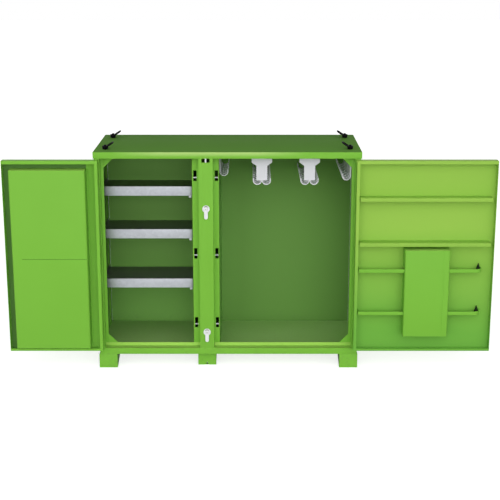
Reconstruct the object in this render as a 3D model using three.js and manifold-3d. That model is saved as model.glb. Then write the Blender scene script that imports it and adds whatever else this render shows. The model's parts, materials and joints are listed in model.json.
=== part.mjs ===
// Two-door steel storage cabinet, standing with both doors folded right back.
// Millimetres, +Z up. Shapes are written with X = 0 at the middle of the cabinet, Y = 0 on
// its front face (+Y to the back) and Z = 0 on the floor. The last group moves the origin to
// the middle of the footprint of the open cabinet.
import * as THREE from 'three';
import { mergeVertices } from 'three/addons/utils/BufferGeometryUtils.js';
import Module from 'manifold-3d';

const wasm = await Module();
wasm.setup();

// Carcass
const width = 1524;
const depth = 619;
const height = 1290;
const sheet = 2;
const fit = 0.3;
const lidLip = 37;
const lidOverhang = 6;
const footHeight = 85;
const railHeight = 37;

// Door frame: a front face, a recess as deep as a door, and a stop lip at its back
const frameFace = 30;
const recess = 52;
const jambLip = 17;
const sillLip = 18;
const headLip = 10;
const headFlange = 15;
const flangeReturn = 30;
const gussetLeg = 52;
const gussetLap = 12;

// Centre post and the two dividing walls behind it
const postX = -124;
const hatWidth = 82;
const leftFlange = 39;
const rightFlange = 32;
const slotWidth = 19;
const slotHeight = 62;
const slotInsets = [7, 4];
const slotHeadDrop = 67;
const slotSillRise = 156;
const slotMidDrop = 19;
const headNotchWidth = 46;
const headNotchHeight = 22;

// Lock ladder inside the post, and its two turning levers
const ladderRod = 9;
const crossBar = 6;
const crossBarRise = 20;
const leverDrops = [214, 74];
const roseRadius = 21;
const roseThick = 6;
const leverLength = 58;
const leverWidth = 21;
const leverThick = 7;
const spindle = 6;

// Doors
const leftDoorWidth = 541;
const rightDoorWidth = 794;
const doorGap = 2.5;
const hingeGap = 4;
const doorThick = 51;
const doorSink = 0.5;
const topFlange = 19;
const bottomFlange = 14;
const hingeFlange = 18;

// Continuous hinge
const knuckle = 3;
const pinRadius = 1.5;
const boreRadius = 1.85;
const hingeProud = 0.4;
const leaf = 1.5;
const leafWidth = 36;
const leafEnd = 20;
const knuckleCount = 9;
const knuckleGap = 0.6;

// Furniture on the doors
const boxDepth = 75;
const leftBoxWidth = 429;
const leftBoxInset = 43;
const leftBoxBottom = 25;
const leftBoxHeight = 1052;
const rightBoxDepth = 82;
const rightBoxWidth = 256;
const rightBoxInset = 256;
const rightBoxBottom = 225;
const rightBoxHeight = 515;
const boxCorner = 8;
const shelfReach = 66;
const doorShelfLip = 21;
const doorShelfTops = [1041, 779];
const doorShelfFree = 25;
const trayTops = [625, 371];
const trayFree = 67;
const trayCorner = 40;
const doorShelfStart = 22;

// Inside
const shelfDrops = [178, 432, 731];
const shelfLip = 55;
const shelfFront = 90;
const shelfBack = 540;
const shelfEndLip = 20;
const upright = 30;
const uprightReach = 3;
const uprightFoot = 8;
const uprightHead = 5.7;
const uprightSlot = [5, 22];
const uprightPitch = 75;
const uprightRows = [140, 520];

// Harness hook racks under the lid
const hookOuter = 26;
const hookStock = 5;
const hookLength = 36;
const hookPitch = 66;
const hookTip = 39;
const rackBack = 600;
const rackFlange = 30;
const plateWidth = 62;
const shoulderWidth = 117;
const shoulderDrop = 55;
const shoulderSlope = 20;
const doubleRacks = [195.5, 469];
const doubleDrop = 203;
const singleDrop = 177;
const rackFront = 75;
const leftRackFront = 207;
const rightRackInset = 49;

// Feet
const footWidth = 107;
const footReach = 150;
const footToe = 20;
const footHeel = 40;
const footSheet = 3;
const midFootBack = 50;
const midFootShift = 3;
const notchWidth = 24;
const notchHeight = 18;

// Hoist rings on the lid
const ringInset = 61;
const ringFromFront = 101;
const ringFromBack = 112;
const ringFoot = 14;
const ringFootHeight = 5;
const ringHub = 17;
const ringHubHeight = 15;
const ringPin = 3.5;
const ringPinRise = 11;
const bailStock = 4;
const bailRadius = 22;
const bailLeg = 24;
const bailAngle = 32;
const eyeRadius = 6.5;

const round = 24;
const half = width / 2;
const bodyHalf = half - lidOverhang;
const wallIn = bodyHalf - sheet;
const openHalf = bodyHalf - frameFace;
const stopHalf = openHalf - jambLip;
const ledge = footHeight + railHeight;
const lipBottom = height - lidLip;
const ceiling = height - sheet;
const sillTop = ledge + sillLip;
const headBottom = lipBottom - headLip;
const backIn = depth - sheet - 2 * fit - sheet;
const floorTop = footHeight + 2 * sheet + fit;
const stopBack = recess + sheet;
const slotUpper = headBottom - slotHeadDrop;
const slotLower = sillTop + slotSillRise;
const slotTops = [slotUpper, (slotUpper + slotLower) / 2 - slotMidDrop, slotLower];
const leverHeights = [slotUpper - leverDrops[0], slotLower - leverDrops[1]];
const shelfTops = shelfDrops.map((drop) => lipBottom - drop);
const uprightSpan = headBottom - uprightHead - floorTop - uprightFoot;
const doubleBottom = height - doubleDrop;
const singleBottom = height - singleDrop;
const hatLeft = postX - hatWidth / 2;
const hatRight = postX + hatWidth / 2;
const dividerLeft = hatLeft - leftFlange;
const dividerRight = hatRight + rightFlange;
const hingeY = -(knuckle + hingeProud);
const openSkin = 2 * hingeY - doorSink;
const openFront = openSkin - doorThick;
const skinIn = openSkin - sheet - fit;
const doorBottom = ledge + doorGap;
const doorTop = lipBottom - doorGap;
const doorEdge = openHalf + hingeGap;

const steel = (color, roughness, metalness) =>
  new THREE.MeshStandardMaterial({ color, roughness, metalness });
const green = steel('#7fc042', 0.45, 0);
const zinc = steel('#c3c5ca', 0.4, 0.6);
const white = steel('#dcdde2', 0.4, 0.2);
const black = steel('#101010', 0.4, 0.5);
const plain = steel('#8d9196', 0.35, 0.9);

// A closed geometry becomes a solid that can be joined and cut
function solid(geometry) {
  geometry.deleteAttribute('normal');
  geometry.deleteAttribute('uv');
  const merged = mergeVertices(geometry, 1e-4);
  return new wasm.Manifold(new wasm.Mesh({
    numProp: 3,
    vertProperties: new Float32Array(merged.attributes.position.array),
    triVerts: new Uint32Array(merged.index.array),
  }));
}

function block(x0, x1, y0, y1, z0, z1) {
  const box = new THREE.BoxGeometry(x1 - x0, y1 - y0, z1 - z0);
  return solid(box.translate((x0 + x1) / 2, (y0 + y1) / 2, (z0 + z1) / 2));
}

// An outline in the plane across an axis, pushed along that axis from one place to another.
// Across x it is (y, z), across y it is (x, z) and across z it is (x, y).
function prism(axis, outline, from, to) {
  const shape = new THREE.Shape(outline.map(([u, v]) => new THREE.Vector2(u, v)));
  const body = new THREE.ExtrudeGeometry(shape, { depth: to - from, bevelEnabled: false });
  const turn = new THREE.Matrix4();
  if (axis === 'x') {
    turn.makeBasis(new THREE.Vector3(0, 1, 0), new THREE.Vector3(0, 0, 1), new THREE.Vector3(1, 0, 0));
    turn.setPosition(from, 0, 0);
  } else if (axis === 'y') {
    turn.makeBasis(new THREE.Vector3(1, 0, 0), new THREE.Vector3(0, 0, 1), new THREE.Vector3(0, -1, 0));
    turn.setPosition(0, to, 0);
  } else {
    turn.setPosition(0, 0, from);
  }
  return solid(body.applyMatrix4(turn));
}

function arc(u, v, radius, start, end, steps) {
  return Array.from({ length: steps + 1 }, (_, i) => {
    const angle = THREE.MathUtils.degToRad(start + ((end - start) * i) / steps);
    return [u + radius * Math.cos(angle), v + radius * Math.sin(angle)];
  });
}

function rod(axis, u, v, radius, from, to, sides = round) {
  return prism(axis, arc(u, v, radius, 0, 360 - 360 / sides, sides - 1), from, to);
}

const parts = new THREE.Group();

function add(name, body, material) {
  const found = body.getMesh();
  const geometry = new THREE.BufferGeometry();
  geometry.setAttribute('position', new THREE.BufferAttribute(new Float32Array(found.vertProperties), 3));
  geometry.setIndex(new THREE.BufferAttribute(new Uint32Array(found.triVerts), 1));
  const mesh = new THREE.Mesh(geometry, material);
  mesh.name = name;
  parts.add(mesh);
}

const joined = (bodies) => bodies.reduce((sum, body) => sum.add(body));
const sides = [['left', -1], ['right', 1]];
const span = (side, a, b) => (side < 0 ? [-b, -a] : [a, b]);

// The lid is a pan turned over, so its lips hang outside the walls
function lid() {
  const pan = block(-half, half, 0, depth, lipBottom, height);
  return pan.subtract(block(sheet - half, half - sheet, sheet, depth - sheet, lipBottom - 1, ceiling));
}

function sideWall(side) {
  const top = ceiling - fit;
  const wall = block(...span(side, wallIn, bodyHalf), sheet + fit, backIn + sheet, footHeight, top);
  const foot = block(...span(side, wallIn - flangeReturn, bodyHalf), sheet + fit, backIn - fit,
    footHeight, footHeight + sheet);
  const trim = block(...span(side, 0, wallIn + 1), 0, flangeReturn + 2 * fit, footHeight - 1,
    footHeight + sheet + fit);
  return wall.add(foot).subtract(trim.intersect(foot));
}

function backWall() {
  return block(fit - wallIn, wallIn - fit, backIn, backIn + sheet, footHeight + sheet + fit, ceiling - fit);
}

function floorPan() {
  const low = footHeight + sheet + fit;
  return block(fit - wallIn, wallIn - fit, sheet + fit, backIn - fit, low, low + sheet);
}

// Sill: front rail, ledge for the door to close over, and an upturned stop lip
function sill() {
  const outline = [
    [0, footHeight], [flangeReturn, footHeight], [flangeReturn, footHeight + sheet],
    [sheet, footHeight + sheet], [sheet, ledge - sheet], [stopBack, ledge - sheet],
    [stopBack, sillTop], [recess, sillTop], [recess, ledge], [0, ledge],
  ];
  const rail = prism('x', outline, -bodyHalf, bodyHalf);
  const ends = sides.map(([, side]) => block(...span(side, wallIn - fit, bodyHalf + 1), sheet + fit / 2,
    stopBack + 1, footHeight - 1, sillTop + 1));
  return rail.subtract(joined(ends));
}

function jamb(side) {
  const outline = [
    [bodyHalf, 0], [bodyHalf, sheet], [openHalf + sheet, sheet], [openHalf + sheet, stopBack],
    [stopHalf, stopBack], [stopHalf, recess], [openHalf, recess], [openHalf, 0],
  ].map(([x, y]) => [side * x, y]);
  const post = prism('z', outline, ledge + fit, lipBottom - fit);
  return post.subtract(block(...span(side, stopHalf - 1, bodyHalf), recess - fit, stopBack + 1, ledge,
    sillTop + fit));
}

function header() {
  const front = stopBack + fit;
  const top = ceiling - fit;
  const outline = [
    [front, headBottom], [front + sheet, headBottom], [front + sheet, top - sheet],
    [front + headFlange, top - sheet], [front + headFlange, top], [front, top],
  ];
  return prism('x', outline, fit - wallIn, wallIn - fit);
}

// Flat corner plate behind the stop lips, cut across at 45 degrees
function gusset(side, upper) {
  const cornerZ = upper ? headBottom : sillTop;
  const up = upper ? -1 : 1;
  const front = stopBack + fit + (upper ? sheet + fit : 0);
  const outline = [
    [stopHalf + gussetLap, cornerZ - up * gussetLap], [stopHalf - gussetLeg, cornerZ - up * gussetLap],
    [stopHalf - gussetLeg, cornerZ], [stopHalf, cornerZ + up * gussetLeg],
    [stopHalf + gussetLap, cornerZ + up * gussetLeg],
  ].map(([x, z]) => [side * x, z]);
  return prism('y', outline, front, front + sheet);
}

// Hat-section post: its flanges are the stops for the free edges of the doors
function centrePost() {
  const outline = [
    [hatLeft, 0], [hatRight, 0], [hatRight, recess], [dividerRight, recess], [dividerRight, stopBack],
    [hatRight - sheet, stopBack], [hatRight - sheet, sheet], [hatLeft + sheet, sheet],
    [hatLeft + sheet, stopBack], [dividerLeft, stopBack], [dividerLeft, recess], [hatLeft, recess],
  ];
  const top = lipBottom - fit;
  const overSill = block(dividerLeft - 1, dividerRight + 1, recess - fit, stopBack + 1, ledge,
    sillTop + fit);
  const headNotch = block(postX - headNotchWidth / 2, postX + headNotchWidth / 2, -1, sheet + 1,
    top - headNotchHeight, top + 1);
  const starts = [dividerLeft + slotInsets[0], dividerRight - slotInsets[1] - slotWidth];
  const slots = slotTops.flatMap((z) => starts
    .map((x) => block(x, x + slotWidth, recess - 1, stopBack + 1, z - slotHeight, z)));
  return prism('z', outline, ledge + fit, top).subtract(joined([overSill, headNotch, ...slots]));
}

function divider(x) {
  return block(x, x + sheet, stopBack + fit, backIn - fit, floorTop + fit, headBottom - fit);
}

// One rod with three bars across it, which show through the slots in the post
function lockLadder() {
  const back = stopBack + fit;
  const left = dividerLeft + sheet + fit;
  const right = dividerRight - sheet - fit;
  const bars = slotTops.map((z) => {
    const low = z - slotHeight + crossBarRise - crossBar / 2;
    return block(left, right, back, back + ladderRod, low, low + crossBar);
  });
  const low = sillTop + fit + ladderRod;
  const stem = block(postX - ladderRod / 2, postX + ladderRod / 2, sheet + fit, recess, low, lipBottom - fit)
    .add(block(postX - ladderRod / 2, postX + ladderRod / 2, recess - 1, back + ladderRod, low,
      headBottom - fit));
  return joined([stem, ...bars]);
}

function lockRose(z) {
  return rod('y', postX, z, roseRadius, -roseThick - fit, -fit)
    .subtract(rod('y', postX, z, spindle + fit, -roseThick - 1, 1));
}

// The lever hangs from a spindle that turns in the rose
function lockLever(z) {
  const reach = leverWidth / 2;
  const end = z - leverLength + reach;
  const outline = [...arc(postX, z, reach, 0, 180, 10), ...arc(postX, end, reach, 180, 360, 10)];
  const front = -roseThick - 2 * fit;
  return prism('y', outline, front - leverThick, front)
    .add(rod('y', postX, z, spindle, front - 1, -2 * fit));
}

// A door is a pan of sheet with return flanges; its free edge has none
function doorPan(side, doorWidth) {
  const near = doorEdge;
  const far = doorEdge + doorWidth;
  const pan = block(...span(side, near, far), openFront, openSkin, doorBottom, doorTop);
  const hollow = block(...span(side, near + sheet, far - sheet), openFront + sheet, openSkin - sheet,
    doorBottom + sheet, doorTop - sheet);
  const mouth = block(...span(side, near + hingeFlange, far - sheet), openFront - 1, openFront + sheet + 1,
    doorBottom + bottomFlange, doorTop - topFlange);
  return pan.subtract(hollow).subtract(mouth);
}

// A folded cover standing on the inner face of a door, open only at its back
function doorBox(side, far, boxWidth, reach, bottom, tall) {
  const front = skinIn - reach;
  const [x0, x1] = span(side, far - boxWidth, far);
  const corners = [
    [x0, skinIn], ...arc(x0 + boxCorner, front + boxCorner, boxCorner, 180, 270, 4),
    ...arc(x1 - boxCorner, front + boxCorner, boxCorner, 270, 360, 4), [x1, skinIn],
  ];
  const cover = prism('z', corners, bottom, bottom + tall);
  return cover.subtract(block(x0 + sheet, x1 - sheet, front + sheet + boxCorner / 2, skinIn + 1,
    bottom + sheet, bottom + tall - sheet));
}

function rightBox() {
  const far = doorEdge + rightDoorWidth - rightBoxInset;
  const box = doorBox(1, far, rightBoxWidth, rightBoxDepth, rightBoxBottom, rightBoxHeight);
  const front = skinIn - shelfReach - fit;
  return trayTops.reduce((left, top) => left.subtract(block(0, 2 * width, front, skinIn + 1,
    top - doorShelfLip - fit, top + fit)), box);
}

// Door shelf: a flat top with its front edge turned down
function doorShelf(top) {
  const front = skinIn - shelfReach;
  const outline = [
    [skinIn, top], [front, top], [front, top - doorShelfLip], [front + sheet, top - doorShelfLip],
    [front + sheet, top - sheet], [skinIn, top - sheet],
  ];
  return prism('x', outline, doorEdge + doorShelfStart, doorEdge + rightDoorWidth - doorShelfFree);
}

// Short trough with its free end swept round to the door
function doorTray(top) {
  const front = skinIn - shelfReach;
  const start = doorEdge + doorShelfStart;
  const end = doorEdge + rightDoorWidth - trayFree;
  const plan = (inset) => [
    [start, skinIn + inset], [start, front + inset],
    ...arc(end - trayCorner, front + trayCorner, trayCorner - inset, 270, 360, 6),
    [end - inset, skinIn + inset],
  ];
  const low = top - doorShelfLip;
  const hollow = plan(sheet).map(([x, y]) => [x === start ? x + sheet : x, y]);
  return prism('z', plan(0), low, top).subtract(prism('z', hollow, low + sheet, top + 1));
}

// Knuckles of a continuous hinge alternate between its two leaves along the pin
function hingeLeaf(side, onDoor) {
  const low = doorBottom + leafEnd;
  const pitch = (doorTop - doorBottom - 2 * leafEnd) / knuckleCount;
  const axisX = side * openHalf;
  const near = onDoor ? hingeGap - fit - leaf : fit;
  const plateX = onDoor ? span(side, openHalf + near, openHalf + near + leaf)
    : span(side, openHalf - near - leaf, openHalf - near);
  const away = onDoor ? -1 : 1;
  const reach = [hingeY + away * (knuckle + hingeProud + fit), hingeY + away * (knuckle + leafWidth)];
  const root = [hingeY + away * (onDoor ? 0 : boreRadius), hingeY + away * (knuckle + 1)];
  const order = (pair) => [Math.min(...pair), Math.max(...pair)];
  const bodies = [block(...plateX, ...order(reach), low, low + pitch * knuckleCount)];
  for (let i = onDoor ? 1 : 0; i < knuckleCount; i += 2) {
    const z0 = low + i * pitch + knuckleGap / 2;
    const z1 = low + (i + 1) * pitch - knuckleGap / 2;
    bodies.push(rod('z', axisX, hingeY, knuckle, z0, z1, 12), block(...plateX, ...order(root), z0, z1));
  }
  return joined(bodies).subtract(rod('z', axisX, hingeY, boreRadius, low - 1, doorTop, 12));
}

function hingePin(side) {
  return rod('z', side * openHalf, hingeY, pinRadius, doorBottom + leafEnd, doorTop - leafEnd, 12);
}

// Shelf: a floor with a tall lip at its front and low lips at its two ends
function shelf(top) {
  const low = top - shelfLip;
  const x0 = uprightReach + 2 * fit - wallIn;
  const x1 = dividerLeft - uprightReach - 2 * fit;
  const behind = shelfFront + sheet;
  return block(x0, x1, shelfFront, shelfBack, low, top)
    .subtract(block(x0 + sheet, x1 - sheet, behind, shelfBack + 1, low + sheet, top + 1))
    .subtract(block(x0 - 1, x1 + 1, behind, shelfBack + 1, low + shelfEndLip, top + 1));
}

// Slotted strip that carries the ends of the shelves
function shelfUpright(onDivider, y) {
  const wall = onDivider ? dividerLeft - fit : fit - wallIn;
  const out = onDivider ? -1 : 1;
  const at = (a, b) => [Math.min(wall + out * a, wall + out * b), Math.max(wall + out * a, wall + out * b)];
  const low = floorTop + uprightFoot;
  const [slotWide, slotTall] = uprightSlot;
  const count = Math.floor(uprightSpan / uprightPitch) - 1;
  const holes = Array.from({ length: count }, (_, i) => {
    const z = low + (i + 1) * uprightPitch;
    return block(...at(-1, uprightReach + 1), y - slotWide / 2, y + slotWide / 2, z, z + slotTall);
  });
  return block(...at(0, uprightReach), y - upright / 2, y + upright / 2, low, low + uprightSpan)
    .subtract(joined(holes));
}

// One J of flat stock, hanging from the web at x and opening away from it
function hook(x, out, bottom, y) {
  const centre = bottom + hookOuter;
  const middle = x + out * hookOuter;
  const outer = arc(0, 0, hookOuter, 180, 360, 10);
  const inner = arc(0, 0, hookOuter - hookStock, 360, 180, 10);
  const ring = [[-hookOuter, hookTip], ...outer, [hookOuter, hookTip - hookOuter],
    [hookOuter - hookStock, hookTip - hookOuter], ...inner, [hookStock - hookOuter, hookTip]];
  return prism('y', ring.map(([u, v]) => [middle + out * u, centre + v]), y, y + hookLength);
}

// Rack: a web under the lid with a row of hooks along its lower edge
function rack(x, outs, bottom, front) {
  const webLow = bottom + hookTip;
  const top = ceiling - fit;
  const [x0, x1] = outs.length > 1 ? [x - hookStock, x + hookStock]
    : [Math.min(x, x + outs[0] * hookStock), Math.max(x, x + outs[0] * hookStock)];
  const count = Math.floor((rackBack - front - hookLength) / hookPitch) + 1;
  const rear = front + (count - 1) * hookPitch + hookLength;
  const bodies = [block(x0, x1, front, rear, webLow, top)];
  const wide = outs.length > 1 ? [x - rackFlange, x + rackFlange]
    : [Math.min(x, x + outs[0] * rackFlange), Math.max(x, x + outs[0] * rackFlange)];
  bodies.push(block(...wide, front + stopBack, rear, top - sheet, top));
  for (let i = 0; i < count; i += 1) {
    outs.forEach((out) => bodies.push(hook(x, out, bottom, front + i * hookPitch)));
  }
  if (outs.length > 1) bodies.push(frontPlate(x, bottom, front));
  return joined(bodies);
}

// T-shaped plate that closes the front end of a double rack
function frontPlate(x, bottom, front) {
  const shoulder = lipBottom - shoulderDrop;
  const outline = [
    [-plateWidth / 2, bottom + hookOuter], [plateWidth / 2, bottom + hookOuter],
    [plateWidth / 2, shoulder], [shoulderWidth / 2, shoulder + shoulderSlope],
    [shoulderWidth / 2, lipBottom], [-shoulderWidth / 2, lipBottom],
    [-shoulderWidth / 2, shoulder + shoulderSlope], [-plateWidth / 2, shoulder],
  ];
  return prism('y', outline.map(([u, z]) => [x + u, z]), front, front + sheet);
}

// Pressed foot: a face plate, two tapered cheeks and a toe plate, open at its back
function foot(x0, front, back, notched) {
  const toward = Math.sign(back - front);
  const x1 = x0 + footWidth;
  const top = footHeight + (notched ? sheet : -fit);
  const outline = [[front, 0], [front + toward * footToe, 0], [back, footHeel], [back, top], [front, top]];
  const ordered = toward > 0 ? outline : outline.slice().reverse();
  const inner = [
    [front + toward * footSheet, footSheet], [back + toward, footSheet], [back + toward, top + 1],
    [front + toward * footSheet, top + 1],
  ];
  const innerOrdered = toward > 0 ? inner : inner.slice().reverse();
  const shell = prism('x', ordered, x0, x1)
    .subtract(prism('x', innerOrdered, x0 + footSheet, x1 - footSheet));
  if (!notched) return shell;
  const middle = (x0 + x1) / 2;
  const notch = [[middle - notchWidth / 2, -1], [middle + notchWidth / 2, -1], [middle, notchHeight]];
  const face = [front - toward, front + toward * (footSheet + fit)].sort((a, b) => a - b);
  return shell.subtract(prism('y', notch, ...face));
}

// Swivel hoist ring: a turning base with a pin through it, and a bail that tips on the pin
function ringBase(x, y) {
  const low = height + fit;
  const pinHalf = bailRadius + bailStock;
  const hubTop = low + ringFootHeight + ringHubHeight;
  return joined([
    rod('z', x, y, ringFoot, low, low + ringFootHeight, 12),
    rod('z', x, y, ringHub, low + ringFootHeight - 1, hubTop, 12),
    rod('y', x, ringPinHeight(), ringPin, y - pinHalf, y + pinHalf, 12),
  ]);
}

function ringPinHeight() {
  return height + fit + ringPinRise;
}

function ringBail(x, y, lean) {
  const legs = [[bailLeg, bailRadius], [0, bailRadius]].map(([u, v]) => new THREE.Vector3(u, v, 0));
  const bend = arc(bailLeg, 0, bailRadius, 90, -90, 10).map(([u, v]) => new THREE.Vector3(u, v, 0));
  const path = new THREE.CurvePath();
  path.add(new THREE.LineCurve3(legs[1], legs[0]));
  for (let i = 0; i < bend.length - 1; i += 1) path.add(new THREE.LineCurve3(bend[i], bend[i + 1]));
  path.add(new THREE.LineCurve3(bend[bend.length - 1], new THREE.Vector3(0, -bailRadius, 0)));
  const section = new THREE.Shape(arc(0, 0, bailStock, 0, 315, 7).map(([u, v]) => new THREE.Vector2(u, v)));
  const tube = new THREE.ExtrudeGeometry(section, { steps: 36, extrudePath: path });
  const eyes = [-1, 1].map((end) => rod('y', 0, 0, eyeRadius, end * bailRadius - bailStock,
    end * bailRadius + bailStock, 12));
  const bores = rod('y', 0, 0, ringPin + 2 * fit, -2 * bailRadius, 2 * bailRadius, 12);
  const tilt = THREE.MathUtils.degToRad(lean > 0 ? -bailAngle : bailAngle - 180);
  const loop = joined([solid(tube), ...eyes]).subtract(bores);
  const found = loop.getMesh();
  const placed = new THREE.BufferGeometry();
  placed.setAttribute('position', new THREE.BufferAttribute(new Float32Array(found.vertProperties), 3));
  placed.setIndex(new THREE.BufferAttribute(new Uint32Array(found.triVerts), 1));
  return solid(placed.rotateY(tilt).translate(x, y, ringPinHeight()));
}

add('lid', lid(), green);
add('back_panel', backWall(), green);
add('floor_pan', floorPan(), green);
add('front_sill', sill(), green);
add('header', header(), green);
add('centre_post', centrePost(), green);
add('left_divider', divider(dividerLeft), green);
add('right_divider', divider(dividerRight - sheet), green);
add('lock_ladder', lockLadder(), white);
['upper', 'lower'].forEach((level, i) => {
  add(`${level}_lock_rose`, lockRose(leverHeights[i]), white);
  add(`${level}_lock_lever`, lockLever(leverHeights[i]), white);
});
sides.forEach(([name, side]) => {
  const doorWidth = side < 0 ? leftDoorWidth : rightDoorWidth;
  add(`${name}_side_panel`, sideWall(side), green);
  add(`${name}_jamb`, jamb(side), green);
  add(`${name}_upper_gusset`, gusset(side, true), green);
  add(`${name}_lower_gusset`, gusset(side, false), green);
  add(`${name}_door_pan`, doorPan(side, doorWidth), green);
  add(`${name}_hinge_frame_leaf`, hingeLeaf(side, false), green);
  add(`${name}_hinge_door_leaf`, hingeLeaf(side, true), green);
  add(`${name}_hinge_pin`, hingePin(side), plain);
});
const leftBoxFar = doorEdge + leftDoorWidth - leftBoxInset;
const leftBoxLow = doorBottom + leftBoxBottom;
add('left_door_box', doorBox(-1, leftBoxFar, leftBoxWidth, boxDepth, leftBoxLow, leftBoxHeight), green);
add('right_door_box', rightBox(), green);
['upper', 'middle'].forEach((level, i) => add(`${level}_door_shelf`, doorShelf(doorShelfTops[i]), green));
['upper', 'lower'].forEach((level, i) => add(`${level}_door_tray`, doorTray(trayTops[i]), green));
['upper', 'middle', 'lower'].forEach((level, i) => add(`${level}_shelf`, shelf(shelfTops[i]), zinc));
['front', 'rear'].forEach((row, i) => {
  add(`wall_upright_${row}`, shelfUpright(false, uprightRows[i]), green);
  add(`divider_upright_${row}`, shelfUpright(true, uprightRows[i]), green);
});
add('left_hook_rack', rack(dividerRight + fit, [1], singleBottom, leftRackFront), white);
doubleRacks.forEach((x, i) => {
  add(`middle_hook_rack_${i + 1}`, rack(x, [-1, 1], doubleBottom, rackFront), white);
});
add('right_hook_rack', rack(bodyHalf - rightRackInset, [-1], singleBottom, rackFront), white);
const rearFace = backIn + sheet;
const midFoot = postX - footWidth / 2 - midFootShift;
[['left', -half], ['middle', midFoot], ['right', half - footWidth]].forEach(([name, x0]) => {
  const set = name === 'middle' ? midFootBack : 0;
  add(`${name}_front_foot`, foot(x0, set, set + footReach, name === 'middle'), green);
  add(`${name}_rear_foot`, foot(x0, rearFace - set, rearFace - set - footReach, name === 'middle'), green);
});
sides.forEach(([name, side]) => {
  [['front', ringFromFront], ['rear', depth - ringFromBack]].forEach(([row, y]) => {
    const x = side * (half - ringInset);
    add(`${name}_${row}_ring_base`, ringBase(x, y), black);
    add(`${name}_${row}_ring_bail`, ringBail(x, y, -side), black);
  });
});

const leftReach = doorEdge + leftDoorWidth;
const rightReach = doorEdge + rightDoorWidth;
const frontReach = skinIn - rightBoxDepth;
parts.position.set((leftReach - rightReach) / 2, -(frontReach + depth) / 2, 0);
const cabinet = new THREE.Group();
cabinet.add(parts);

export default cabinet;
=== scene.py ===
# %% [markdown]
# # A green steel storage cabinet with its doors folded back
# The cabinet is sheet steel, cut, folded and powder coated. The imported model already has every
# panel at its true size, so this lesson keeps those shapes and gives them what a press brake and a
# paint line would: soft folds, small fittings and real finishes. Everything is in metres.

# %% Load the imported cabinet
import json
import math

import bpy
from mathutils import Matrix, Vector


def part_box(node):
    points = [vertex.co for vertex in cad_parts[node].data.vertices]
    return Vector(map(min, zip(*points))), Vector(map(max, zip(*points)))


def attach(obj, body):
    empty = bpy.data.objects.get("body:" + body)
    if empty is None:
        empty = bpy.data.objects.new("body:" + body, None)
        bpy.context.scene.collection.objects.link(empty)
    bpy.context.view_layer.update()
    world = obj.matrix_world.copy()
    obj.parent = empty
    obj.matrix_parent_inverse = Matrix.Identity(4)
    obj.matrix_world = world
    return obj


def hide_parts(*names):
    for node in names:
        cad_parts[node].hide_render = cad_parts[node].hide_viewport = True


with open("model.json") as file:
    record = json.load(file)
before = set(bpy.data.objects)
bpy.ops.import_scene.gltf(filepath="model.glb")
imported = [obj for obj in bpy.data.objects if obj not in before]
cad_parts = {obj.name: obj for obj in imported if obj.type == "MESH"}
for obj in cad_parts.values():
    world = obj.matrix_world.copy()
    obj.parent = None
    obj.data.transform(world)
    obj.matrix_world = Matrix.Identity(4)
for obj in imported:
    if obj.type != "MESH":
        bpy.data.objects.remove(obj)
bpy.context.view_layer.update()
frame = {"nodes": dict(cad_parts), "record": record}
nodes = frame["nodes"]
record = frame["record"]
body_of = {}
for body_name, members in record["behaviour"]["bodies"].items():
    for member in members:
        body_of[member] = body_name
slot_of = {entry["node"]: entry["material_slot"] for entry in record["subparts"]}

# %% [markdown]
# ## The camera
# The photograph looks straight at the cabinet from a little above, from far away, so the doors keep
# nearly parallel edges. A long lens at nearly seven metres gives the same slight convergence.

# %% Camera at the photograph's viewpoint
LENS_MM = 84.67
CAMERA_PLACE = (0.0011, -6.8177, 2.455)
CAMERA_PITCH = 14.83

bpy.ops.object.select_all(action="DESELECT")
bpy.ops.object.camera_add(location=CAMERA_PLACE, rotation=(math.radians(90 - CAMERA_PITCH), 0, 0))
camera = bpy.context.object
camera.name = "photo_camera"
camera.data.lens = LENS_MM
camera.data.sensor_width = 36
camera.data.clip_end = 60
bpy.context.scene.camera = camera
print("camera", camera.location[:], "lens", camera.data.lens)

# %% [markdown]
# ## Small helpers for finishes
# Colours are sRGB hex values, matched by comparing trial renders with the photograph.
# Shader sockets want linear light, so one function turns hex into linear. A second one adds a node,
# fills its sockets and links it.

# %% Colour and node helpers
def linear(hex_colour):
    """sRGB hex to a linear RGBA tuple."""
    channels = [int(hex_colour[i:i + 2], 16) / 255 for i in (1, 3, 5)]
    return tuple(c / 12.92 if c <= 0.04045 else ((c + 0.055) / 1.055) ** 2.4 for c in channels) + (1.0,)


def add_node(tree, kind, values=None, links=None, **settings):
    """One shader node with its settings, its socket values and the sockets that feed it."""
    node = tree.nodes.new(kind)
    for name, value in settings.items():
        setattr(node, name, value)
    for socket, value in (values or {}).items():
        node.inputs[socket].default_value = value
    for socket, source in (links or {}).items():
        tree.links.new(source, node.inputs[socket])
    return node


def fresh_material(name):
    """An empty node tree with a shader wired to its output, and the piece's own coordinates."""
    material = bpy.data.materials.new(name)
    material.use_nodes = True
    tree = material.node_tree
    tree.nodes.clear()
    shader = add_node(tree, "ShaderNodeBsdfPrincipled")
    add_node(tree, "ShaderNodeOutputMaterial", links={"Surface": shader.outputs["BSDF"]})
    place = add_node(tree, "ShaderNodeTexCoord").outputs["Object"]
    return material, tree, shader, place


print("helpers ready, sample", [round(v, 3) for v in linear("#7FC042")])
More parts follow.
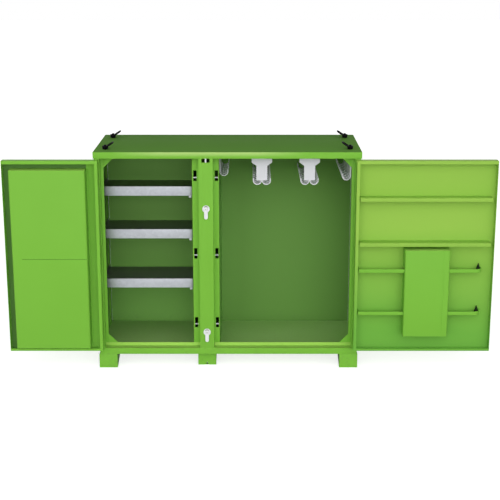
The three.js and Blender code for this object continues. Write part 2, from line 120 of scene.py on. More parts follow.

# %% [markdown]
# ## Powder coat
# Powder coat is a thick baked polyester film. It flows into a faint orange peel, a few millimetres
# across, and goes slightly deeper in tone where the film is thicker. It is satin, not glossy, so
# the reflections are weak and wide. The peel is drawn at 5 mm, coarser than the real 1 to 2 mm,
# because finer would not show. Near the floor a little dust and scuffing dulls the film.
#
# In the photograph the wide door is paler and deepens downwards, the back sheet deepens to the right,
# and the middle of the lid's front edge is pale. That is light and shade, painted here into the film:
# the drift is painted light and shade, a slow drift from one tone to the other along an axis, and the
# pale patch along an edge is a painted highlight.

# %% Green powder coat
PEEL = 1 / 0.005
CLOUD = 1 / 0.35
SCUFF = 1 / 0.018
DUST_TOP = 0.20
CLOUD_SHARE = 0.2


def powder_coat(name, body_hex, thick_hex, dust_hex, rough, shine, shade_drift=None, painted_highlight=None):
    material, tree, shader, place = fresh_material(name)
    cloud = add_node(tree, "ShaderNodeTexNoise", {"Scale": CLOUD, "Detail": 3.0}, {"Vector": place})
    axes = add_node(tree, "ShaderNodeSeparateXYZ", links={"Vector": place})
    tone = cloud.outputs["Fac"]
    # Painted light and shade: a slow drift from one tone to the other along an axis.
    if shade_drift:
        axis, start, end = shade_drift
        fall = add_node(tree, "ShaderNodeMapRange", {"From Min": start, "From Max": end},
                        {"Value": axes.outputs[axis]})
        tone = add_node(tree, "ShaderNodeMath", {1: CLOUD_SHARE}, {0: tone, 2: fall.outputs["Result"]},
                        operation="MULTIPLY_ADD", use_clamp=True).outputs["Value"]
    film = add_node(tree, "ShaderNodeMix", {6: linear(body_hex), 7: linear(thick_hex)}, {0: tone},
                    data_type="RGBA")
    low = add_node(tree, "ShaderNodeMapRange", {"From Min": DUST_TOP, "From Max": 0.0, "To Max": 0.5},
                   {"Value": axes.outputs["Z"]})
    scuff = add_node(tree, "ShaderNodeTexNoise", {"Scale": SCUFF, "Detail": 5.0, "Roughness": 0.7},
                     {"Vector": place})
    specks = add_node(tree, "ShaderNodeMapRange", {"From Min": 0.5, "From Max": 0.75},
                      {"Value": scuff.outputs["Fac"]})
    dusty = add_node(tree, "ShaderNodeMath", links={0: low.outputs["Result"], 1: specks.outputs["Result"]},
                     operation="MULTIPLY")
    colour = add_node(tree, "ShaderNodeMix", {7: linear(dust_hex)},
                      {0: dusty.outputs["Value"], 6: film.outputs[2]}, data_type="RGBA")
    # Painted highlight: a pale patch along an edge, strongest in the middle of its span.
    if painted_highlight:
        low_z, high_z, middle_x, half_x, highlight_hex = painted_highlight
        rise = add_node(tree, "ShaderNodeMapRange", {"From Min": low_z, "From Max": high_z},
                        {"Value": axes.outputs["Z"]})
        offset = add_node(tree, "ShaderNodeMath", {1: middle_x}, {0: axes.outputs["X"]},
                          operation="SUBTRACT")
        away = add_node(tree, "ShaderNodeMath", links={0: offset.outputs["Value"]}, operation="ABSOLUTE")
        reach = add_node(tree, "ShaderNodeMapRange", {"From Min": half_x, "From Max": half_x / 2},
                         {"Value": away.outputs["Value"]})
        highlight_weight = add_node(tree, "ShaderNodeMath", operation="MULTIPLY",
                          links={0: rise.outputs["Result"], 1: reach.outputs["Result"]})
        colour = add_node(tree, "ShaderNodeMix", {7: linear(highlight_hex)},
                          {0: highlight_weight.outputs["Value"], 6: colour.outputs[2]}, data_type="RGBA")
    peel = add_node(tree, "ShaderNodeTexNoise", {"Scale": PEEL, "Detail": 1.0}, {"Vector": place})
    gloss = add_node(tree, "ShaderNodeMapRange", {"To Min": rough - 0.06, "To Max": rough + 0.08},
                     {"Value": scuff.outputs["Fac"]})
    bump = add_node(tree, "ShaderNodeBump", {"Strength": 0.06, "Distance": 0.0006},
                    {"Height": peel.outputs["Fac"]})
    tree.links.new(colour.outputs[2], shader.inputs["Base Color"])
    tree.links.new(gloss.outputs["Result"], shader.inputs["Roughness"])
    tree.links.new(bump.outputs["Normal"], shader.inputs["Normal"])
    shader.inputs["IOR"].default_value = 1.5
    shader.inputs["Specular IOR Level"].default_value = shine
    return material


green_coat = powder_coat("green_powder_coat", "#82C445", "#7CBC3F", "#6E8A50", 0.45, 0.1)
white_coat = powder_coat("white_powder_coat", "#E2E2E6", "#D8D8DE", "#B9B9B4", 0.42, 0.15)
# Inner walls: a greyer, slightly darker copy of the green, painted shade.
inner_coat = powder_coat("inner_green_painted_shade_coat", "#7FB35A", "#78AA53", "#6E8A58", 0.5, 0.05)
# The lid's top: darker and duller, the darkness painted shade of an upward face.
lid_coat = powder_coat("lid_top_painted_shade_coat", "#699C45", "#649540", "#6E8A58", 0.7, 0.01)
# The floor pan: paler, painted light.
floor_coat = powder_coat("floor_pan_painted_light_coat", "#A6CB80", "#94BE6A", "#8E9C70", 0.6, 0.05)
# The wide door: paler, and darker towards the bottom: painted light and shade.
door_coat = powder_coat("wide_door_painted_light_and_shade_coat", "#9FCB54", "#72B443", "#6E8A50", 0.45, 0.08,
                        ("Z", 0.85, 0.15))
# The back sheet: darker towards the right, painted shade.
back_coat = powder_coat("back_sheet_painted_shade_coat", "#8CC264", "#729F4F", "#6E8A58", 0.5, 0.05,
                        ("X", -0.45, 0.0))
# The lid's front lip: a pale patch in its middle, painted highlight.
lip_coat = powder_coat("lid_lip_painted_highlight_coat", "#82C445", "#7CBC3F", "#6E8A50", 0.45, 0.1,
                       painted_highlight=(1.262, 1.284, -0.23, 0.55, "#B2D779"))
lock_coat = powder_coat("lock_white_powder_coat", "#F4F4F6", "#EDEDF0", "#B9B9B4", 0.35, 0.2)
# Recesses and the sides of the feet: darker, painted shade.
recess_shade_coat = powder_coat("recess_painted_shade_coat", "#648F48", "#5B8540", "#6E8A58", 0.6, 0.03)
# Tops of the boxes and the sill's ledge: paler, painted light.
ledge_coat = powder_coat("ledge_painted_light_coat", "#AADB62", "#9ED257", "#8E9C70", 0.5, 0.08)
# The seam strip: dark green, painted shadow of the seam's gap.
seam_coat = powder_coat("seam_painted_shadow", "#5F9838", "#578C33", "#6E8A58", 0.6, 0.05)
for coat in (green_coat, white_coat, inner_coat, lid_coat, lip_coat, floor_coat, door_coat, back_coat,
             lock_coat, recess_shade_coat, ledge_coat, seam_coat):
    print("powder coat:", coat.name)

# %% [markdown]
# ## Galvanised shelves
# The shelves are zinc coated sheet. Zinc freezes in flat crystals, the spangle, each a slightly
# different grey and gloss. As a metal it mirrors its surroundings softly, so the upright lip shows
# the bright room. The floors of the shelves get their own painted shade in the next step.

# %% Galvanised steel
SPANGLE = 1 / 0.014


def galvanised(name, dark_hex, light_hex):
    material, tree, shader, place = fresh_material(name)
    crystals = add_node(tree, "ShaderNodeTexVoronoi", {"Scale": SPANGLE}, {"Vector": place})
    shade = add_node(tree, "ShaderNodeSeparateColor", links={"Color": crystals.outputs["Color"]})
    colour = add_node(tree, "ShaderNodeMix", {6: linear(dark_hex), 7: linear(light_hex)},
                      {0: shade.outputs["Red"]}, data_type="RGBA")
    gloss = add_node(tree, "ShaderNodeMapRange", {"To Min": 0.40, "To Max": 0.44},
                     {"Value": shade.outputs["Green"]})
    tree.links.new(colour.outputs[2], shader.inputs["Base Color"])
    tree.links.new(gloss.outputs["Result"], shader.inputs["Roughness"])
    shader.inputs["Metallic"].default_value = 0.85
    return material


zinc_sheet = galvanised("galvanised_sheet", "#B2B5BB", "#BBBEC4")
print("shelf finish:", zinc_sheet.name)

# %% [markdown]
# ## Bare and blackened steel
# The lifting rings are forged and blackened with hot oxide, which leaves a dark satin skin with a
# faint grain. The hinge pins are drawn wire, bright along their length. The collars of the locks
# are dull grey, painted shade of the recess over each lock's head. The shelves' floors are dark
# grey, darkest on the upper shelf and paler lower down: painted shade. The green walls tint
# everything inside, so this grey leans a little to violet to come out near grey.

# %% Blackened and drawn steel
def steel_skin(name, dark_hex, light_hex, metallic, rough, grain, shine=0.5):
    material, tree, shader, place = fresh_material(name)
    grit = add_node(tree, "ShaderNodeTexNoise", {"Scale": grain, "Detail": 4.0}, {"Vector": place})
    colour = add_node(tree, "ShaderNodeMix", {6: linear(dark_hex), 7: linear(light_hex)},
                      {0: grit.outputs["Fac"]}, data_type="RGBA")
    gloss = add_node(tree, "ShaderNodeMapRange", {"To Min": rough - 0.08, "To Max": rough + 0.1},
                     {"Value": grit.outputs["Fac"]})
    bump = add_node(tree, "ShaderNodeBump", {"Strength": 0.15, "Distance": 0.0003},
                    {"Height": grit.outputs["Fac"]})
    tree.links.new(colour.outputs[2], shader.inputs["Base Color"])
    tree.links.new(gloss.outputs["Result"], shader.inputs["Roughness"])
    tree.links.new(bump.outputs["Normal"], shader.inputs["Normal"])
    shader.inputs["Metallic"].default_value = metallic
    shader.inputs["Specular IOR Level"].default_value = shine
    return material


FLOOR_SHADE_GRIT = 1 / 0.004
FORGED_GRIT = 1 / 0.002
WIRE_GRIT = 1 / 0.001
# The shelves' floors: dark grey, darkest on the upper shelf, painted shade.
shelf_floor_shade = {
    "upper_shelf": steel_skin("upper_shelf_painted_shade", "#35293B", "#403446", 0.0, 0.35, FLOOR_SHADE_GRIT),
    "middle_shelf": steel_skin("middle_shelf_painted_shade", "#483A52", "#54465D", 0.0, 0.35, FLOOR_SHADE_GRIT),
    "lower_shelf": steel_skin("lower_shelf_painted_shade", "#5C4A68", "#6A5875", 0.0, 0.35, FLOOR_SHADE_GRIT),
}
black_oxide = steel_skin("black_oxide_steel", "#040405", "#0C0C0E", 0.0, 0.5, FORGED_GRIT, 0.06)
# The lock collar's dull grey: painted shade of the recess over the lock head.
collar_shade = steel_skin("lock_collar_painted_shade", "#646C55", "#737B63", 0.2, 0.4, FORGED_GRIT, 0.3)
drawn_wire = steel_skin("drawn_steel_wire", "#8A8D92", "#A4A7AC", 1.0, 0.3, WIRE_GRIT)
finishes = {
    "green_paint": green_coat,
    "grey_shelf": zinc_sheet,
    "white_paint": white_coat,
    "black_steel": black_oxide,
    "bare_steel": drawn_wire,
}
for node_name, node in nodes.items():
    node.data.materials.clear()
    node.data.materials.append(finishes[slot_of[node_name]])
special = {
    inner_coat: ("left_divider", "right_divider", "left_side_panel", "right_side_panel"),
    floor_coat: ("floor_pan",),
    back_coat: ("back_panel",),
    lock_coat: ("upper_lock_rose", "lower_lock_rose", "upper_lock_lever", "lower_lock_lever"),
    door_coat: ("right_door_pan", "upper_door_shelf", "middle_door_shelf"),
}
for coat, node_names in special.items():
    for node_name in node_names:
        nodes[node_name].data.materials[0] = coat
print("finishes on", len(nodes), "nodes")

# %% [markdown]
# ## Folded edges
# A press brake never makes a knife edge: each fold has an outside radius of about one sheet
# thickness, and that radius is what catches the light along the cabinet's edges. Each folded sheet
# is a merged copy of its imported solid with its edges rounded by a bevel, and it takes that solid's
# place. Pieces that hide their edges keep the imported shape.

# %% Round the folds of the sheet pieces
FOLD = 0.0009
WELD = 0.00002
FLAT = math.radians(0.5)
SHARP = math.radians(35)
SMOOTH = math.radians(40)


def edit_all(piece):
    """Edit mode on one piece alone, with all of it selected."""
    bpy.ops.object.select_all(action="DESELECT")
    piece.select_set(True)
    bpy.context.view_layer.objects.active = piece
    bpy.ops.object.mode_set(mode="EDIT")
    bpy.ops.mesh.select_all(action="SELECT")


def round_edges(piece, radius):
    """A bevel on every sharp edge, applied, then smooth shading across it."""
    bevel = piece.modifiers.new("fold", "BEVEL")
    bevel.width = radius
    bevel.segments = 2
    bevel.limit_method = "ANGLE"
    bevel.angle_limit = SHARP
    bpy.ops.object.modifier_apply(modifier=bevel.name)
    bpy.ops.object.shade_smooth_by_angle(angle=SMOOTH)


def fold_sheet(node_name, radius):
    source = nodes[node_name]
    piece = bpy.data.objects.new(node_name + "_folded", source.data.copy())
    bpy.context.scene.collection.objects.link(piece)
    edit_all(piece)
    bpy.ops.mesh.remove_doubles(threshold=WELD)
    bpy.ops.mesh.dissolve_limited(angle_limit=FLAT)
    bpy.ops.object.mode_set(mode="OBJECT")
    round_edges(piece, radius)
    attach(piece, body_of[node_name])
    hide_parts(node_name)
    return piece


folded = ["lid", "front_sill", "left_jamb", "right_jamb", "centre_post", "left_door_pan", "right_door_pan",
          "left_door_box", "right_door_box", "upper_door_shelf", "middle_door_shelf", "upper_door_tray",
          "lower_door_tray", "upper_shelf", "middle_shelf", "lower_shelf", "back_panel", "left_side_panel",
          "right_side_panel"]
feet = [f"{place}_{row}_foot" for place in ("left", "middle", "right") for row in ("front", "rear")]
sheets = {}
for node_name in folded + feet:
    sheets[node_name] = fold_sheet(node_name, FOLD)
    print("folded", sheets[node_name].name, len(sheets[node_name].data.polygons), "faces")

# %% [markdown]
# ## More than one tone on a sheet
# In the photograph some sheets have a different tone on some of their faces, and these tones are
# painted light and shade. The lid's top is dull and deep, painted shade of an upward face, and the tops
# of the boxes and the ledge of the sill are pale, painted light. The sides of the feet and the channel
# beside and above the long box are dark, painted shade, and the shelves' floors take their painted
# shade here too. The walls are taken to be as bright outside as the doors. Faces are picked by their
# normal and their place, and the door's floor is first cut along the channel.

# %% Second tones
FACING = 0.9
LEANING = 0.5
LEDGE_SET = 0.008
CHANNEL = 0.03
LIP_SHEET = 0.0015
FLOOR_SKIN = 0.006


def coat_faces(node_name, finish, chosen):
    """Another finish on the faces of a sheet that a test picks."""
    mesh = sheets[node_name].data
    mesh.materials.append(finish)
    picked = [face for face in mesh.polygons if chosen(face)]
    for face in picked:
        face.material_index = len(mesh.materials) - 1
    print(finish.name, "on", len(picked), "faces of", sheets[node_name].name)


# The lid's top takes painted shade, and its front lip takes the painted highlight.
coat_faces("lid", lid_coat, lambda face: face.normal.z > FACING)
coat_faces("lid", lip_coat, lambda face: face.normal.y < -LEANING)
# Box tops and the sill's ledge: painted light.
for node_name in ("left_door_box", "right_door_box"):
    coat_faces(node_name, ledge_coat, lambda face: face.normal.z > FACING)
ledge_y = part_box("front_sill")[0][1] + LEDGE_SET
coat_faces("front_sill", ledge_coat, lambda face: face.center.y > ledge_y and face.normal.z > -LEANING)
# The sides of the feet: painted shade.
for node_name in feet:
    coat_faces(node_name, recess_shade_coat, lambda face: abs(face.normal.x) > FACING)
outward = {"back_panel": (0, 1, 0), "left_side_panel": (-1, 0, 0), "right_side_panel": (1, 0, 0),
           "right_door_pan": (0, 1, 0)}
for node_name, way_out in outward.items():
    coat_faces(node_name, green_coat, lambda face: face.normal.dot(Vector(way_out)) > LEANING)
# The shelves' floors: painted shade.
for node_name, floor_shade in shelf_floor_shade.items():
    lip_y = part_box(node_name)[0][1] + LIP_SHEET
    coat_faces(node_name, floor_shade, lambda face: face.center.y > lip_y)

long_low, long_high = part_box("left_door_box")
channel_x = long_low[0] + CHANNEL
channel_z = long_high[2] - CHANNEL
channel_end = long_high[0]
floor_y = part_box("left_door_pan")[1][1] - FLOOR_SKIN
for cut, normal in (((channel_x, 0, 0), (1, 0, 0)), ((channel_end, 0, 0), (1, 0, 0)),
                    ((0, 0, channel_z), (0, 0, 1))):
    edit_all(sheets["left_door_pan"])
    bpy.ops.mesh.bisect(plane_co=cut, plane_no=normal)
    bpy.ops.object.mode_set(mode="OBJECT")


def in_channel(face):
    on_floor = face.normal.y < -FACING and face.center.y > floor_y
    above_box = face.center.z > channel_z and face.center.x < channel_end
    return on_floor and (face.center.x < channel_x or above_box)


# The channel beside and above the long box: painted shade.
coat_faces("left_door_pan", recess_shade_coat, in_channel)

# %% [markdown]
# ## Seams on the door boxes
# In the photograph a fine dark line runs level across the long box, and a fine line runs down the
# right side of the other box. The first is drawn as a dark strip between two covers, painted shadow
# of the gap at their seam, and the second as a lap. Each is a thin strip with rounded edges, lying on
# the face that carries it.

# %% Seam strips
LAP = 0.0012
SEAM_RISE = 0.535
SEAM_START = 0.055
SEAM_END = 0.004
SEAM_TALL = 0.0035
LAP_INSET = 0.031
LAP_WIDE = 0.003
END_GAP = 0.003


def strip(name, low, high, body, finish, edge):
    """A bar between two corners: a cube pulled to size in edit mode, with its edges rounded."""
    bpy.ops.object.select_all(action="DESELECT")
    centre = (Vector(low) + Vector(high)) / 2
    size = Vector(high) - Vector(low)
    bpy.ops.mesh.primitive_cube_add(size=1)
    piece = bpy.context.object
    piece.name = name
    edit_all(piece)
    bpy.ops.transform.resize(value=size)
    bpy.ops.transform.translate(value=centre)
    bpy.ops.object.mode_set(mode="OBJECT")
    round_edges(piece, edge)
    piece.data.materials.append(finish)
    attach(piece, body)
    return piece


box_low, box_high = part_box("left_door_box")
seam_z = box_low[2] + SEAM_RISE
# The seam strip is dark: painted shadow of the gap between the covers.
seam = strip("left_box_seam", (box_low[0] + SEAM_START, box_low[1] - LAP / 3, seam_z),
             (box_high[0] - SEAM_END, box_low[1] + LAP, seam_z + SEAM_TALL), "left_door", seam_coat,
             edge=0.0003)
cover_low, cover_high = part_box("right_door_box")
lap_x = cover_high[0] - LAP_INSET
lap = strip("right_box_lap", (lap_x - LAP_WIDE, cover_low[1] - LAP, cover_low[2] + END_GAP),
            (lap_x, cover_low[1] + LAP, cover_high[2] - END_GAP), "right_door", green_coat,
            edge=0.0005)
print("seams:", seam.name, lap.name)

# %% [markdown]
# ## Helpers for small turned fittings
# Barrels, bolts and rings are made at the origin, where they are easy to think about, and then set
# down. Applying the transform leaves the object at the origin with its place in its mesh, which
# keeps every material pattern where it belongs. A copy gets its own mesh.

# %% Picking, placing and copying
UPRIGHT = (0, 0, 0)
TO_FRONT = (math.radians(90), 0, 0)


def pick_faces(piece, chosen):
    """Edit mode with only the faces that a test picks selected."""
    edit_all(piece)
    bpy.ops.mesh.select_mode(type="FACE")
    bpy.ops.mesh.select_all(action="DESELECT")
    bpy.ops.object.mode_set(mode="OBJECT")
    for face in piece.data.polygons:
        face.select = chosen(face)
    bpy.ops.object.mode_set(mode="EDIT")


def set_down(piece, turn, place):
    """Turn and place a piece, then move its place into its mesh."""
    bpy.ops.object.select_all(action="DESELECT")
    piece.select_set(True)
    bpy.context.view_layer.objects.active = piece
    piece.rotation_euler = turn
    piece.location = place
    bpy.ops.object.transform_apply(location=True, rotation=True, scale=True)


def copy_piece(piece, name, turn, place):
    """A copy with its own mesh, turned and placed."""
    twin = bpy.data.objects.new(name, piece.data.copy())
    bpy.context.scene.collection.objects.link(twin)
    set_down(twin, turn, place)
    return twin


def pressed_disc(name, sides, radius, depth, rim, wall, press):
    """A short cylinder whose upper face is inset and pressed in."""
    bpy.ops.object.select_all(action="DESELECT")
    bpy.ops.mesh.primitive_cylinder_add(vertices=sides, radius=radius, depth=depth)
    piece = bpy.context.object
    piece.name = name
    pick_faces(piece, lambda face: face.normal.z > FACING)
    bpy.ops.mesh.inset(thickness=rim, depth=0)
    bpy.ops.mesh.inset(thickness=wall, depth=-press)
    bpy.ops.object.mode_set(mode="OBJECT")
    return piece


def hand_over(piece, body):
    """Say which body the piece moves with."""
    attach(piece, body)
    print(piece.name, "rides on", body)


print("helpers for fittings ready")

# %% [markdown]
# ## Locks
# Each white lever has a key barrel in its head, and the photograph shows a grey arc over the head,
# the shade at the top of the head's recess. The barrel is a disc pressed in for its rim, with a narrow
# black bar for the key slot, painted shade of the slot. The arc is drawn as a grey collar, painted
# shade: the top of a flattened ring, kept above the sweep of the lever. All three are modelled at the
# upper lock and copied to the lower one.

# %% Key barrels and collars
COLLAR = 0.0148
COLLAR_STOCK = 0.0026
COLLAR_FLAT = 0.3
LEVER_CLEAR = 0.0112
BARREL_SEAT = 0.0019
SLIT_HALF = (0.0008, 0.0012, 0.0040)
SLIT_SEAT = 0.0024
lever_low, lever_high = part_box("upper_lock_lever")
head = Vector(((lever_low[0] + lever_high[0]) / 2, lever_low[1],
               lever_high[2] - (lever_high[0] - lever_low[0]) / 2))
rose_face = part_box("upper_lock_rose")[0][1]
barrel = pressed_disc("upper_key_barrel", sides=32, radius=0.0072, depth=0.004, rim=0.0016, wall=0.0002,
                      press=0.0012)
set_down(barrel, TO_FRONT, head - Vector((0, BARREL_SEAT, 0)))
round_edges(barrel, 0.0004)
barrel.data.materials.append(lock_coat)
hand_over(barrel, "upper_lever")
# The key slot is a black bar: painted shade of the slot.
slit_middle = head - Vector((0, SLIT_SEAT, 0))
slit = strip("upper_key_slit", slit_middle - Vector(SLIT_HALF), slit_middle + Vector(SLIT_HALF),
             "upper_lever", black_oxide, edge=0.0002)

# The collar stands in for the shade over the lock head: painted shade.
bpy.ops.object.select_all(action="DESELECT")
bpy.ops.mesh.primitive_torus_add(major_segments=48, minor_segments=12, major_radius=COLLAR,
                                 minor_radius=COLLAR_STOCK)
collar = bpy.context.object
collar.name = "upper_lock_shade_collar"
edit_all(collar)
bpy.ops.mesh.bisect(plane_co=(0, LEVER_CLEAR, 0), plane_no=(0, 1, 0), clear_inner=True, use_fill=True)
bpy.ops.mesh.select_all(action="SELECT")
bpy.ops.transform.resize(value=(1, 1, COLLAR_FLAT))
bpy.ops.object.mode_set(mode="OBJECT")
set_down(collar, TO_FRONT, Vector((head[0], rose_face, head[2])))
bpy.ops.object.shade_smooth_by_angle(angle=SMOOTH)
collar.data.materials.append(collar_shade)
hand_over(collar, "cabinet")

drop = Vector((0, 0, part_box("lower_lock_lever")[1][2] - lever_high[2]))
hand_over(copy_piece(barrel, "lower_key_barrel", UPRIGHT, drop), "lower_lever")
hand_over(copy_piece(slit, "lower_key_slit", UPRIGHT, drop), "lower_lever")
hand_over(copy_piece(collar, "lower_lock_shade_collar", UPRIGHT, drop), "cabinet")

# %% [markdown]
# ## Lifting rings: the loop
# Each ring has a hub on the lid and a forged loop that tips on the hub's pin. The loop is half a
# ring with its two ends pulled out into legs, spread towards its tip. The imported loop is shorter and
# stouter than the one in the photograph, so this one takes its place.

# %% Loop of a lifting ring
LOOP = 0.0226
STOCK = 0.0037
FLARE = 0.8
LEG = 0.031
LEG_END = 0.0052
bpy.ops.object.select_all(action="DESELECT")
bpy.ops.mesh.primitive_torus_add(major_segments=48, minor_segments=12, major_radius=LOOP, minor_radius=STOCK)
loop = bpy.context.object
edit_all(loop)
bpy.ops.mesh.bisect(plane_co=(0, 0, 0), plane_no=(1, 0, 0), clear_inner=True)
bpy.ops.mesh.select_mode(type="EDGE")
bpy.ops.mesh.select_all(action="DESELECT")
bpy.ops.mesh.select_non_manifold()
bpy.ops.mesh.extrude_region_move(TRANSFORM_OT_translate={"value": (LEG_END - LEG, 0, 0)})
bpy.ops.mesh.select_all(action="SELECT")
bpy.ops.mesh.fill_holes(sides=0)
bpy.ops.mesh.select_all(action="SELECT")
bpy.ops.transform.translate(value=(LEG, 0, 0))
bpy.ops.mesh.normals_make_consistent(inside=False)
bpy.ops.mesh.subdivide(number_cuts=1)
bpy.ops.object.mode_set(mode="OBJECT")
for point in loop.data.vertices:
    point.co.y *= 1 + FLARE * max(point.co.x, 0) / (LEG + LOOP)
print("loop reaches", round(LEG + LOOP + STOCK, 4), "m from its pin")

# %% [markdown]
# ## Lifting rings: eyes, bolts and copies
# An eye at the end of each leg turns on the pin: a cylinder with both ends inset and bridged, which
# bores it. A socket head bolt holds the hub down. The two eyes join the loop, and the loop and the
# bolt are then copied to the four corners of the lid, leaning inwards as in the photograph.

# %% Eyes, bolts and the four rings
EYE = 0.0065
EYE_LONG = 0.0066
BORE = 0.0040
PIN_RISE = 0.011
BOLT_SEAT = 0.0028
LEAN = math.radians(32)
bpy.ops.object.select_all(action="DESELECT")
bpy.ops.mesh.primitive_cylinder_add(vertices=24, radius=EYE, depth=EYE_LONG)
eye = bpy.context.object
pick_faces(eye, lambda face: abs(face.normal.z) > FACING)
bpy.ops.mesh.inset(thickness=EYE - BORE, depth=0)
bpy.ops.mesh.bridge_edge_loops()
bpy.ops.object.mode_set(mode="OBJECT")
set_down(eye, TO_FRONT, (0, -LOOP, 0))
round_edges(eye, 0.0005)
other_eye = copy_piece(eye, "other_eye", UPRIGHT, (0, 2 * LOOP, 0))
bpy.ops.object.select_all(action="DESELECT")
for piece in (eye, other_eye, loop):
    piece.select_set(True)
bpy.context.view_layer.objects.active = loop
bpy.ops.object.join()
bpy.ops.object.shade_smooth_by_angle(angle=SMOOTH)
loop.data.materials.append(black_oxide)
bolt = pressed_disc("ring_bolt", sides=24, radius=0.0072, depth=0.006, rim=0.003, wall=0.0003, press=0.003)
round_edges(bolt, 0.0005)
bolt.data.materials.append(black_oxide)

for side, turn in (("left", (0, -LEAN, 0)), ("right", (0, -LEAN, math.pi))):
    for row in ("front", "rear"):
        corner = f"{side}_{row}"
        low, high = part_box(f"{corner}_ring_base")
        hub = Vector(((low[0] + high[0]) / 2, (low[1] + high[1]) / 2, high[2]))
        pin = Vector((hub[0], hub[1], low[2] + PIN_RISE))
        ring_bolt = copy_piece(bolt, f"{corner}_ring_bolt", UPRIGHT, hub + Vector((0, 0, BOLT_SEAT)))
        ring_loop = copy_piece(loop, f"{corner}_ring_loop", turn, pin)
        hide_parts(f"{corner}_ring_bail")
        hand_over(ring_bolt, "cabinet")
        hand_over(ring_loop, f"{corner}_bail")
for pattern in (bolt, loop):
    bpy.data.objects.remove(pattern)

# %% [markdown]
# ## Shade cones in the troughs
# The photograph shows a small dark cone in the rounded end of each trough on the wide door, the shade
# in the deepest corner of that end. It is drawn as a dark cone with slightly swelling sides, standing
# on the trough's floor: painted shade.

# %% Shade cones in the troughs
STOP = 0.046
STOP_FOOT = 0.0145
STOP_TIP = 0.002
SWELL = 0.15
STOP_INSET = 0.017
STOP_BACK = 0.030
TRAY_SHEET = 0.002
CONE_GRIT = 1 / 0.003
# The dark cone is painted shade of the trough's rounded end.
trough_end_shade = steel_skin("trough_end_shade", "#16210F", "#203016", 0.0, 0.7, CONE_GRIT, 0.1)
tray_low, tray_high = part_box("upper_door_tray")
bpy.ops.object.select_all(action="DESELECT")
bpy.ops.mesh.primitive_cone_add(vertices=24, radius1=STOP_FOOT, radius2=STOP_TIP, depth=STOP)
stop = bpy.context.object
stop.name = "upper_trough_shade_cone"
edit_all(stop)
bpy.ops.mesh.subdivide(number_cuts=3)
bpy.ops.object.mode_set(mode="OBJECT")
for point in stop.data.vertices:
    swell = 1 + SWELL * math.sin(math.pi * (point.co.z / STOP + 0.5))
    point.co.x *= swell
    point.co.y *= swell
set_down(stop, UPRIGHT,
         (tray_high[0] - STOP_INSET, tray_high[1] - STOP_BACK, tray_low[2] + TRAY_SHEET + STOP / 2))
round_edges(stop, 0.001)
stop.data.materials.append(trough_end_shade)
tray_drop = Vector((0, 0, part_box("lower_door_tray")[0][2] - tray_low[2]))
hand_over(stop, "right_door")
hand_over(copy_piece(stop, "lower_trough_shade_cone", UPRIGHT, tray_drop), "right_door")

# %% [markdown]
# ## Clips on the shelves
# A small tab shows under the right end of each shelf's lip. It is drawn as a zinc clip that lies
# against the back of the lip and hangs a little below it. One is modelled and copied.

# %% Shelf clips
CLIP_DROP = 0.012
CLIP_INSET = 0.003
CLIP_WIDE = 0.015
CLIP_SHEET = 0.002
LIP_BACK = 0.0019
shelf_low, shelf_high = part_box("upper_shelf")
clip_x = shelf_high[0] - CLIP_INSET
clip_y = shelf_low[1] + LIP_BACK
clip = strip("upper_shelf_clip", (clip_x - CLIP_WIDE, clip_y, shelf_low[2] - CLIP_DROP),
             (clip_x, clip_y + CLIP_SHEET, shelf_low[2] + CLIP_DROP), "cabinet", zinc_sheet,
             edge=0.0006)
for level in ("middle", "lower"):
    fall = Vector((0, 0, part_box(f"{level}_shelf")[0][2] - shelf_low[2]))
    hand_over(copy_piece(clip, f"{level}_shelf_clip", UPRIGHT, fall), "cabinet")

# %% [markdown]
# ## Flanges on the corner feet
# The corner feet stand out past the walls as far as the lid does. Seen from above, the slit between
# a foot's cheek and the wall would let the floor shine through. Here the cheek's top edge folds in
# under the wall, as a narrow strip. One is modelled and copied to the other corners.

# %% Foot flanges
FLANGE = 0.003
FLANGE_LAP = 0.002
FLANGE_REACH = 0.012
FLANGE_SINK = 0.0004
foot_low, foot_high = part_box("left_front_foot")
flange_top = foot_high[2] - FLANGE_SINK
# The flange's dark coat is painted shade of the slit.
flange = strip("left_front_foot_flange",
               (foot_low[0] + FLANGE_LAP, foot_low[1] + FLANGE_LAP, flange_top - FLANGE),
               (foot_low[0] + FLANGE_REACH, foot_high[1] - FLANGE_LAP, flange_top), "cabinet", recess_shade_coat,
               edge=0.0006)
for corner in ("right_front", "left_rear", "right_rear"):
    low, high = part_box(f"{corner}_foot")
    shift = Vector((low[0] - foot_low[0], low[1] - foot_low[1], 0))
    if corner.startswith("right"):
        shift.x = high[0] - FLANGE_REACH - foot_low[0] - FLANGE_LAP
    hand_over(copy_piece(flange, f"{corner}_foot_flange", UPRIGHT, shift), "cabinet")

# %% [markdown]
# ## The floor
# The photograph is a cut-out on white. The floor is pale paper that glows a little to the camera and
# in reflections, so it stays near white and still takes the cabinet's soft shadow. It lies a hair
# below the feet and is stage, not part of the cabinet.

# %% Studio floor
FLOOR_SIZE = 60
FLOOR_DROP = 0.0006
FLOOR_GLOW = 0.74


def seen_directly(tree):
    """1 for rays that the camera, a reflection or glass sees, 0 for the light that falls on things."""
    path = add_node(tree, "ShaderNodeLightPath").outputs
    mirrored = add_node(tree, "ShaderNodeMath", operation="MAXIMUM",
                        links={0: path["Is Camera Ray"], 1: path["Is Glossy Ray"]})
    through = add_node(tree, "ShaderNodeMath", operation="MAXIMUM",
                       links={0: mirrored.outputs["Value"], 1: path["Is Transmission Ray"]})
    return through.outputs["Value"]


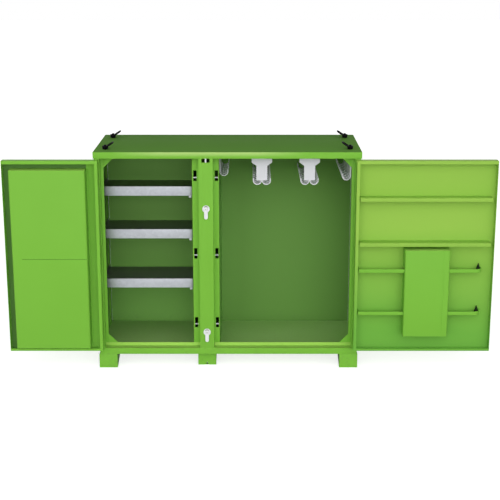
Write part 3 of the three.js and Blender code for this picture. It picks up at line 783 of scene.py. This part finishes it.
bpy.ops.object.select_all(action="DESELECT")
bpy.ops.mesh.primitive_plane_add(size=FLOOR_SIZE, location=(0, 0, -FLOOR_DROP))
floor = bpy.context.object
floor.name = "studio_floor"
paper, tree, shader, place = fresh_material("studio_paper")
shader.inputs["Base Color"].default_value = linear("#E4E4E4")
shader.inputs["Roughness"].default_value = 0.9
shader.inputs["Specular IOR Level"].default_value = 0.0
glow = add_node(tree, "ShaderNodeMath", {1: FLOOR_GLOW}, {0: seen_directly(tree)}, operation="MULTIPLY")
tree.links.new(glow.outputs["Value"], shader.inputs["Emission Strength"])
floor.data.materials.append(paper)
print("floor:", floor.name)

# %% [markdown]
# ## The light
# The photograph is lit flatly by one broad soft source in front, so fronts have their full colour,
# upward faces are dark and the inside falls off to its back. A dome that is brightest straight ahead
# and dim overhead gives this, and a weaker half behind keeps the back readable. A weak, broad sun
# from the front adds a little shape.

# %% Dome and front light
FRONT_GLOW = 2.72
BACK_GLOW = 0.8
SIDE_GLOW = 0.05
FOCUS = 2.0
world = bpy.data.worlds.new("studio")
bpy.context.scene.world = world
world.use_nodes = True
tree = world.node_tree
tree.nodes.clear()
way = add_node(tree, "ShaderNodeSeparateXYZ",
               links={"Vector": add_node(tree, "ShaderNodeTexCoord").outputs["Generated"]})
halves = []
for toward, half_glow in ((-1.0, FRONT_GLOW), (1.0, BACK_GLOW)):
    facing = add_node(tree, "ShaderNodeMapRange", {"From Min": 0.0, "From Max": toward},
                      {"Value": way.outputs["Y"]})
    narrow = add_node(tree, "ShaderNodeMath", {1: FOCUS}, {0: facing.outputs["Result"]}, operation="POWER")
    halves.append(add_node(tree, "ShaderNodeMath", {1: half_glow}, {0: narrow.outputs["Value"]},
                           operation="MULTIPLY").outputs["Value"])
both = add_node(tree, "ShaderNodeMath", links={0: halves[0], 1: halves[1]}, operation="ADD")
dome = add_node(tree, "ShaderNodeMath", {1: SIDE_GLOW}, {0: both.outputs["Value"]}, operation="ADD")
strength = add_node(tree, "ShaderNodeMix", {3: 1.0}, {0: seen_directly(tree), 2: dome.outputs["Value"]},
                    data_type="FLOAT")
back = add_node(tree, "ShaderNodeBackground", {"Color": (1, 1, 1, 1)}, {"Strength": strength.outputs[0]})
add_node(tree, "ShaderNodeOutputWorld", links={"Surface": back.outputs["Background"]})
bpy.ops.object.select_all(action="DESELECT")
bpy.ops.object.light_add(type="SUN", rotation=(math.radians(88), 0, math.radians(8)))
lamp = bpy.context.object
lamp.name = "front_light"
lamp.data.energy = 0.25
lamp.data.angle = math.radians(30)
bpy.context.scene.view_settings.view_transform = "Standard"
print("dome and", lamp.name)
